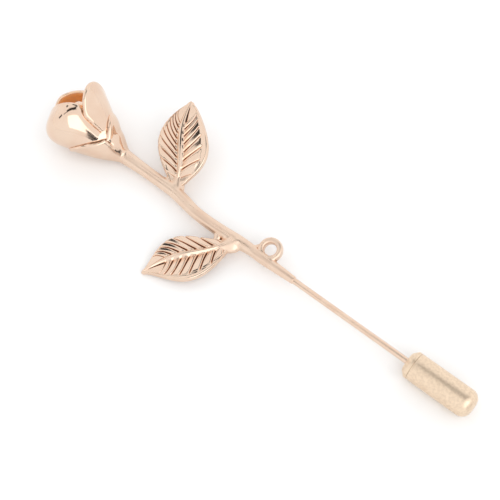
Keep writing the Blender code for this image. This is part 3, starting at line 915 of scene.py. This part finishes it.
roll = Matrix.Rotation(SPRAY_ROLL, 4, "X")
eyelet_centre = roll @ Vector((0, EYELET_OFFSET, 0)) + Vector((0, 0, NEEDLE_HEIGHT)) + eyelet_foot
eyelet_axis = roll @ Vector((0, 0, 1))
eyelet_across = roll @ Vector((0, 1, 0))
EYELET_ROUND = 0.00035
EYELET_SIDES = 96
MELT_LOSS = 0.00008


def rounded_box_ring(inner, outer, half, corner, steps):
    """The (radius, height) section of a ring with rounded corners."""
    section = []
    for turn_start, radius, height in (
        (0, outer - corner, half - corner),
        (90, inner + corner, half - corner),
        (180, inner + corner, corner - half),
        (270, outer - corner, corner - half),
    ):
        for step in range(steps + 1):
            turn = math.radians(turn_start + 90 * step / steps)
            section.append((radius + corner * math.cos(turn), height + corner * math.sin(turn)))
    return section


section = rounded_box_ring(
    EYELET_HOLE / 2,
    EYELET_DIAMETER / 2 + 2 * MELT_LOSS,
    EYELET_THICKNESS / 2 + MELT_LOSS / 2,
    EYELET_ROUND,
    steps=4,
)
rings = []
for index in range(EYELET_SIDES):
    turn = 2 * math.pi * index / EYELET_SIDES
    outwards = math.cos(turn) * Vector((1, 0, 0)) + math.sin(turn) * eyelet_across
    rings.append([eyelet_centre + radius * outwards + height * eyelet_axis for radius, height in section])
add_skin(spray, rings, loop=True)
web_start = Vector((*(eyelet_foot + Vector((-0.0022, 0.0002, NEEDLE_HEIGHT))), 0.0007))
web_middle = Vector((*(eyelet_centre + Vector((-0.0017, 0, 0)) - 0.0007 * eyelet_across), 0.00055))
web_end = Vector((*(eyelet_foot + Vector((-0.0004, 0.0001, NEEDLE_HEIGHT))), 0.0006))
add_tube(spray, [web_start, web_middle, web_end], WEB_SIDES, 8)
bmesh.ops.recalc_face_normals(spray, faces=spray.faces)
spray_mesh = mesh_from(spray, "spray")
print("the spray has", len(spray_mesh.polygons), "faces before it is melted")

# %% [markdown]
# Melt the spray into one casting
#
# The voxel remesh keeps only the outer skin, so it also drops the walls that lie inside other
# walls. Smoothing then draws a small fillet where two forms meet, and more of it softens the
# neck and the leaves' roots. The skin is then measured for the painted light: a point in a crease,
# where its neighbours' middle lies in front of it, gets painted shade, and a point inside the bud,
# where a ray along its normal meets metal again, gets the painted orange glow.
#
# Last the casting is cut in two across the stem, only to keep each mesh of a moderate size. The
# cut is flat and both sides have the same points, so it doesn't show.

# %% Melt, smooth and cut
VOXEL = 0.00012
MELT_ROUNDS = 6
SOFT_ROUNDS = 30
SMOOTH_FACTOR = 0.5
NECK_SOFT_REACH = 0.0030
ROOT_SOFT_REACH = 0.0022
CREASE_DEPTH = 0.000012
CREASE_BLUR = 3
CUT_SHARE = 0.8
INNER_SHARE = 0.6
INNER_REACH = 0.012
INNER_BLUR = 12
RAY_START = 0.00005
DRAWN_FADE = 0.0015


def melted(name, mesh, soft_places):
    """One skin over a mesh's crossing forms, with extra smoothing within a reach of some places."""
    obj = add_object(name, mesh)
    remesh = obj.modifiers.new("melt", "REMESH")
    remesh.mode = "VOXEL"
    remesh.voxel_size = VOXEL
    smooth = obj.modifiers.new("fillets", "SMOOTH")
    smooth.factor = SMOOTH_FACTOR
    smooth.iterations = MELT_ROUNDS
    apply_modifiers(obj)
    soft = obj.vertex_groups.new(name="soft")
    for place, reach in soft_places:
        for vertex in obj.data.vertices:
            near = 1 - (vertex.co - place).length / reach
            if near > 0:
                soft.add([vertex.index], min(1.0, 2 * near), "ADD")
    softer = obj.modifiers.new("soft", "SMOOTH")
    softer.vertex_group = "soft"
    softer.factor = SMOOTH_FACTOR
    softer.iterations = SOFT_ROUNDS
    apply_modifiers(obj)
    obj.vertex_groups.clear()
    return obj


def mark_plate(obj):
    """Stores on each point its painted crease shade, its painted glow inside the bud and how drawn it is."""
    mesh = obj.data
    count = len(mesh.vertices)
    values = np.empty((2, count * 3))
    mesh.vertices.foreach_get("co", values[0])
    mesh.vertices.foreach_get("normal", values[1])
    places, normals = values.reshape(2, -1, 3)
    ends = np.empty(len(mesh.edges) * 2, dtype=int)
    mesh.edges.foreach_get("vertices", ends)
    a, b = ends.reshape(-1, 2).T
    near = np.maximum(np.bincount(a, minlength=count) + np.bincount(b, minlength=count), 1)

    def spread(values):
        """The average of each point's neighbours."""
        return (np.bincount(a, values[b], count) + np.bincount(b, values[a], count)) / near

    average = np.stack([spread(places[:, axis]) for axis in range(3)], axis=1)
    # Painted shade: the deeper a point lies in a crease, the darker its colour is painted
    hollow = ((average - places) * normals).sum(axis=1)
    for _ in range(CREASE_BLUR):
        hollow = 0.5 * hollow + 0.5 * spread(hollow)
    hollow = np.clip(hollow / CREASE_DEPTH, 0, 1)
    # Painted glow: a point inside the bud whose normal meets metal again is painted orange
    inner = np.zeros(count)
    skin = BVHTree.FromPolygons(places.tolist(), [tuple(face.vertices) for face in mesh.polygons])
    middle = np.array(neck + INNER_SHARE * BUD_LENGTH * bud_axis)
    for index in np.flatnonzero(np.linalg.norm(places - middle, axis=1) < INNER_SHARE * BUD_LENGTH):
        out = Vector(normals[index])
        hit = skin.ray_cast(Vector(places[index]) + out * RAY_START, out, INNER_REACH)[3]
        inner[index] = hit is not None
    for _ in range(INNER_BLUR):
        inner = 0.5 * inner + 0.5 * spread(inner)
    past_neck = np.clip((places[:, 0] - neck.x) / DRAWN_FADE, 0, 1)
    for title, values in (("painted_shade", hollow), ("inner", inner), ("drawn", past_neck)):
        stored = mesh.attributes.new(title, "FLOAT", "POINT")
        stored.data.foreach_set("value", values.astype(np.float32))


def cut_off(obj, name, x, keep):
    """A copy of the part of an object on one side of a plane square to X, closed by a flat face."""
    bm = bmesh.new()
    bm.from_mesh(obj.data)
    geom = bm.verts[:] + bm.edges[:] + bm.faces[:]
    result = bmesh.ops.bisect_plane(
        bm,
        geom=geom,
        dist=0.0000001,
        plane_co=(x, 0, 0),
        plane_no=(1, 0, 0),
        clear_outer=keep < 0,
        clear_inner=keep > 0,
    )
    rim = [item for item in result["geom_cut"] if isinstance(item, bmesh.types.BMEdge)]
    for edge in rim:
        edge.smooth = False
    bmesh.ops.contextual_create(bm, geom=rim)
    mesh = mesh_from(bm, name)
    mesh.materials.append(rose_gold)
    return add_object(name, mesh)


joints = [(neck + 0.02 * BUD_LENGTH * bud_axis, NECK_SOFT_REACH)]
joints += [(leaf_line(leaf, 0.0), ROOT_SOFT_REACH) for leaf in LEAVES]
casting = melted("casting", spray_mesh, joints)
mark_plate(casting)
cut_x = eyelet_foot.x - CUT_SHARE * STEM_LENGTH
rose_bud = cut_off(casting, "rose_bud", cut_x, -1)
rose_stem = cut_off(casting, "rose_stem", cut_x, 1)
bpy.data.objects.remove(casting)
for piece in (rose_bud, rose_stem):
    tidy_faces(piece)

# %% [markdown]
# The needle and the clutch
#
# Both are round, so a profile of (place along the axis, radius) turned about the needle's axis
# gives each of them. Every corner of the profile is a small arc, because a turned edge is never
# sharp and it is the arc that catches the light.


# %% Turn the needle and the clutch
def rounded(profile, corner, steps=5):
    """A profile whose corners are arcs of about the given radius."""
    points = [Vector(point) for point in profile]
    made = [points[0]]
    for before, here, after in zip(points, points[1:], points[2:]):
        back = before - here
        on = after - here
        room = min(corner, back.length * 0.45, on.length * 0.45)
        start = here + back.normalized() * room
        end = here + on.normalized() * room
        for step in range(steps + 1):
            t = step / steps
            made.append((1 - t) ** 2 * start + 2 * t * (1 - t) * here + t**2 * end)
    made.append(points[-1])
    return made


def turned_piece(name, profile, finish, loop=False, sides=96):
    """A body turned about the needle's axis."""
    bm = bmesh.new()
    y_axis = Vector((0, 1, 0))
    z_axis = Vector((0, 0, 1))
    axis = Vector((eyelet_foot.x, needle_middle.y, needle_middle.z))
    rings = []
    for point in profile:
        centre = axis + Vector((point.x, 0, 0))
        rings.append(ring_points(centre, point.y, y_axis, z_axis, sides))
    add_skin(bm, rings, loop)
    mesh = mesh_from(bm, name)
    mesh.materials.append(finish)
    made = add_object(name, mesh)
    tidy_faces(made)
    return made


NEEDLE_REACH = 0.0095
NEEDLE_CORNER = 0.00015
CLUTCH_START = TAIL_LENGTH + NEEDLE_BARE_LENGTH
NEEDLE_END = CLUTCH_START + NEEDLE_REACH
wire = NEEDLE_DIAMETER / 2
needle_profile = [
    (NEEDLE_START, wire * 0.3),
    (NEEDLE_START, wire),
    (NEEDLE_END - NEEDLE_POINT_LENGTH, wire),
    (NEEDLE_END - NEEDLE_POINT_LENGTH * 0.4, wire * 0.6),
    (NEEDLE_END, wire * 0.1),
]
needle = turned_piece("needle_wire", rounded(needle_profile, NEEDLE_CORNER), needle_gold, sides=48)

NOSE_CHAMFER = 0.0007
SLEEVE_DEPTH = 0.0008
SLEEVE_RADIUS = 0.0015
BORE_RADIUS = 0.00065
BORE_WALL = 0.0012
DOME_RADIUS = 0.0016
DOME_STEPS = 16
NOSE_CORNER = 0.00008
BARREL_CORNER = 0.00007
NEAR_AXIS = 0.0001

body = CLUTCH_DIAMETER / 2
nose_end = CLUTCH_START + NOSE_LENGTH
nose_profile = [
    (nose_end + SLEEVE_DEPTH, NOSE_HOLE / 2),
    (CLUTCH_START, NOSE_HOLE / 2),
    (CLUTCH_START, body - NOSE_CHAMFER),
    (CLUTCH_START + NOSE_CHAMFER, body),
    (nose_end, body),
    (nose_end, SLEEVE_RADIUS),
    (nose_end + SLEEVE_DEPTH, SLEEVE_RADIUS),
]
clutch_nose = turned_piece("clutch_nose_cap", rounded(nose_profile, NOSE_CORNER), satin_brass, loop=True)

barrel_start = nose_end + 0.4 * SEAM_GAP
barrel_end = CLUTCH_START + CLUTCH_LENGTH
barrel_profile = [
    (barrel_end - BORE_WALL, NEAR_AXIS),
    (barrel_end - BORE_WALL, BORE_RADIUS),
    (barrel_start + SLEEVE_DEPTH, BORE_RADIUS),
    (barrel_start + SLEEVE_DEPTH, SLEEVE_RADIUS + SEAM_GAP),
    (barrel_start, SLEEVE_RADIUS + SEAM_GAP),
    (barrel_start, body),
    (barrel_start + 0.001, body),
]
barrel_profile = rounded(barrel_profile, BARREL_CORNER)
for step in range(DOME_STEPS + 1):
    turn = math.radians(90 * step / DOME_STEPS)
    x = barrel_end - DOME_RADIUS * (1 - math.sin(turn))
    barrel_profile.append(Vector((x, body - DOME_RADIUS * (1 - math.cos(turn)))))
clutch_barrel = turned_piece("clutch_barrel_shell", barrel_profile, satin_brass)

# %% [markdown]
# The table
#
# The pin lies on a plain white table that is much larger than the picture, so its edges never
# show. A faint noise in its roughness keeps it from looking like paper.

# %% Lay the table
FLOOR_HALF = 0.6
FLOOR_WHITE = 0.98
FLOOR_GRAIN = 900.0

floor_mesh = bpy.data.meshes.new("studio_floor")
corners = [(FLOOR_HALF * x, FLOOR_HALF * y, 0) for x, y in ((-1, -1), (1, -1), (1, 1), (-1, 1))]
floor_mesh.from_pydata(corners, [], [(0, 1, 2, 3)])
floor = add_object("studio_floor", floor_mesh)
floor_finish, floor_tree = new_finish("white_table")
grain = floor_tree.node("ShaderNodeTexNoise", {"Scale": FLOOR_GRAIN, "Detail": 2.0})["Fac"]
floor_tree.surface(
    {
        "Base Color": (FLOOR_WHITE, FLOOR_WHITE, FLOOR_WHITE, 1.0),
        "Roughness": 0.6 + 0.05 * grain,
        "Specular IOR Level": 0.2,
    }
)
floor_mesh.materials.append(floor_finish)
print("table is", 2 * FLOOR_HALF, "m across")

# %% [markdown]
# The light
#
# The whole sky is a soft white light, a little dimmer below. A mirror shows what is round it, so
# polished metal under an even sky would look flat. One brighter card stands in for a softbox,
# and a few narrow dark cards give the crisp dark lines that show where the metal bends. A card
# is a patch of the sky: turn and rise say where its middle is, tilt turns it about that middle,
# and all its sizes are degrees.

# %% Set up the light
Card = namedtuple("Card", "turn rise tilt half_width half_height soft strength")
SOFTBOX = 1.7
DARK = 0.03
CARDS = (
    Card(-22, 40, -15, 22, 25, 2.0, SOFTBOX),
    Card(-20, 9, 45, 16, 2.4, 0.8, DARK),
    Card(-8, 2, 5, 20, 3.0, 1.5, DARK),
    Card(86.5, 76.4, 65.7, 22, 6.0, 1.5, DARK),
    Card(-124.3, 71.3, -83.5, 10, 1.5, 1.0, DARK),
    Card(-126.9, 44.9, -81.0, 8, 4.5, 1.0, DARK),
    Card(156, 54, 0, 5.0, 6.0, 1.0, DARK),
)
SKY_STRENGTH = 1.13
SKY_DIM = 0.2


def past_edge(offset, ahead, half, soft):
    """0 within half degrees of a card's middle line, and 1 past it and its soft edge."""
    inner = math.tan(math.radians(half))
    outer = math.tan(math.radians(half + soft))
    return abs(offset / ahead.most(0.01)).smooth(inner, outer)


def part_along(sky, direction, way):
    """How far the view's direction goes along a fixed one."""
    inputs = {0: direction, 1: tuple(way)}
    return sky.node("ShaderNodeVectorMath", inputs, operation="DOT_PRODUCT")["Value"]


def card_cover(sky, direction, card):
    """1 in the directions that a card fills, and 0 in the others."""
    turn = math.radians(card.turn)
    facing = pointing(turn, math.radians(card.rise))
    level_across = Vector((-math.sin(turn), math.cos(turn), 0))
    across = Matrix.Rotation(math.radians(card.tilt), 3, facing) @ level_across
    ahead = part_along(sky, direction, facing)
    sideways = part_along(sky, direction, across)
    upward = part_along(sky, direction, facing.cross(across))
    wide = past_edge(sideways, ahead, card.half_width, card.soft)
    high = past_edge(upward, ahead, card.half_height, card.soft)
    return ahead.smooth(0.0, 0.1) * (1.0 - wide) * (1.0 - high)


world = bpy.data.worlds.new("studio")
bpy.context.scene.world = world
world.use_nodes = True
world.node_tree.nodes.clear()
sky = Tree(world.node_tree)
direction = sky.node("ShaderNodeTexCoord")["Generated"]
height = sky.node("ShaderNodeSeparateXYZ", {"Vector": direction})["Z"]
level = height.smooth(-0.2, 0.1) * SKY_DIM + (1 - SKY_DIM)
for card in CARDS:
    cover = card_cover(sky, direction, card)
    level = level * (1.0 - cover) + card.strength * cover
backdrop = sky.node("ShaderNodeBackground", {"Color": level, "Strength": SKY_STRENGTH})
sky.node("ShaderNodeOutputWorld", {"Surface": backdrop["Background"]})
bpy.context.scene.view_settings.view_transform = "Standard"
print("sky has", len(CARDS), "cards")

# %% [markdown]
# Fasten each piece to its body
#
# The spray, the needle and their parts ride on the pin. The clutch slides off along the needle,
# so its two pieces ride on the clutch. Each new piece stands for a solid of the frame.

# %% Ride and replace
for piece in [rose_bud, rose_stem] + leaf_pieces:
    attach(piece, "pin")
    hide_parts("rose_casting")
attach(needle, "pin")
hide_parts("needle")
for piece, node in ((clutch_nose, "clutch_nose"), (clutch_barrel, "clutch_barrel")):
    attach(piece, "clutch")
    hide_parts(node)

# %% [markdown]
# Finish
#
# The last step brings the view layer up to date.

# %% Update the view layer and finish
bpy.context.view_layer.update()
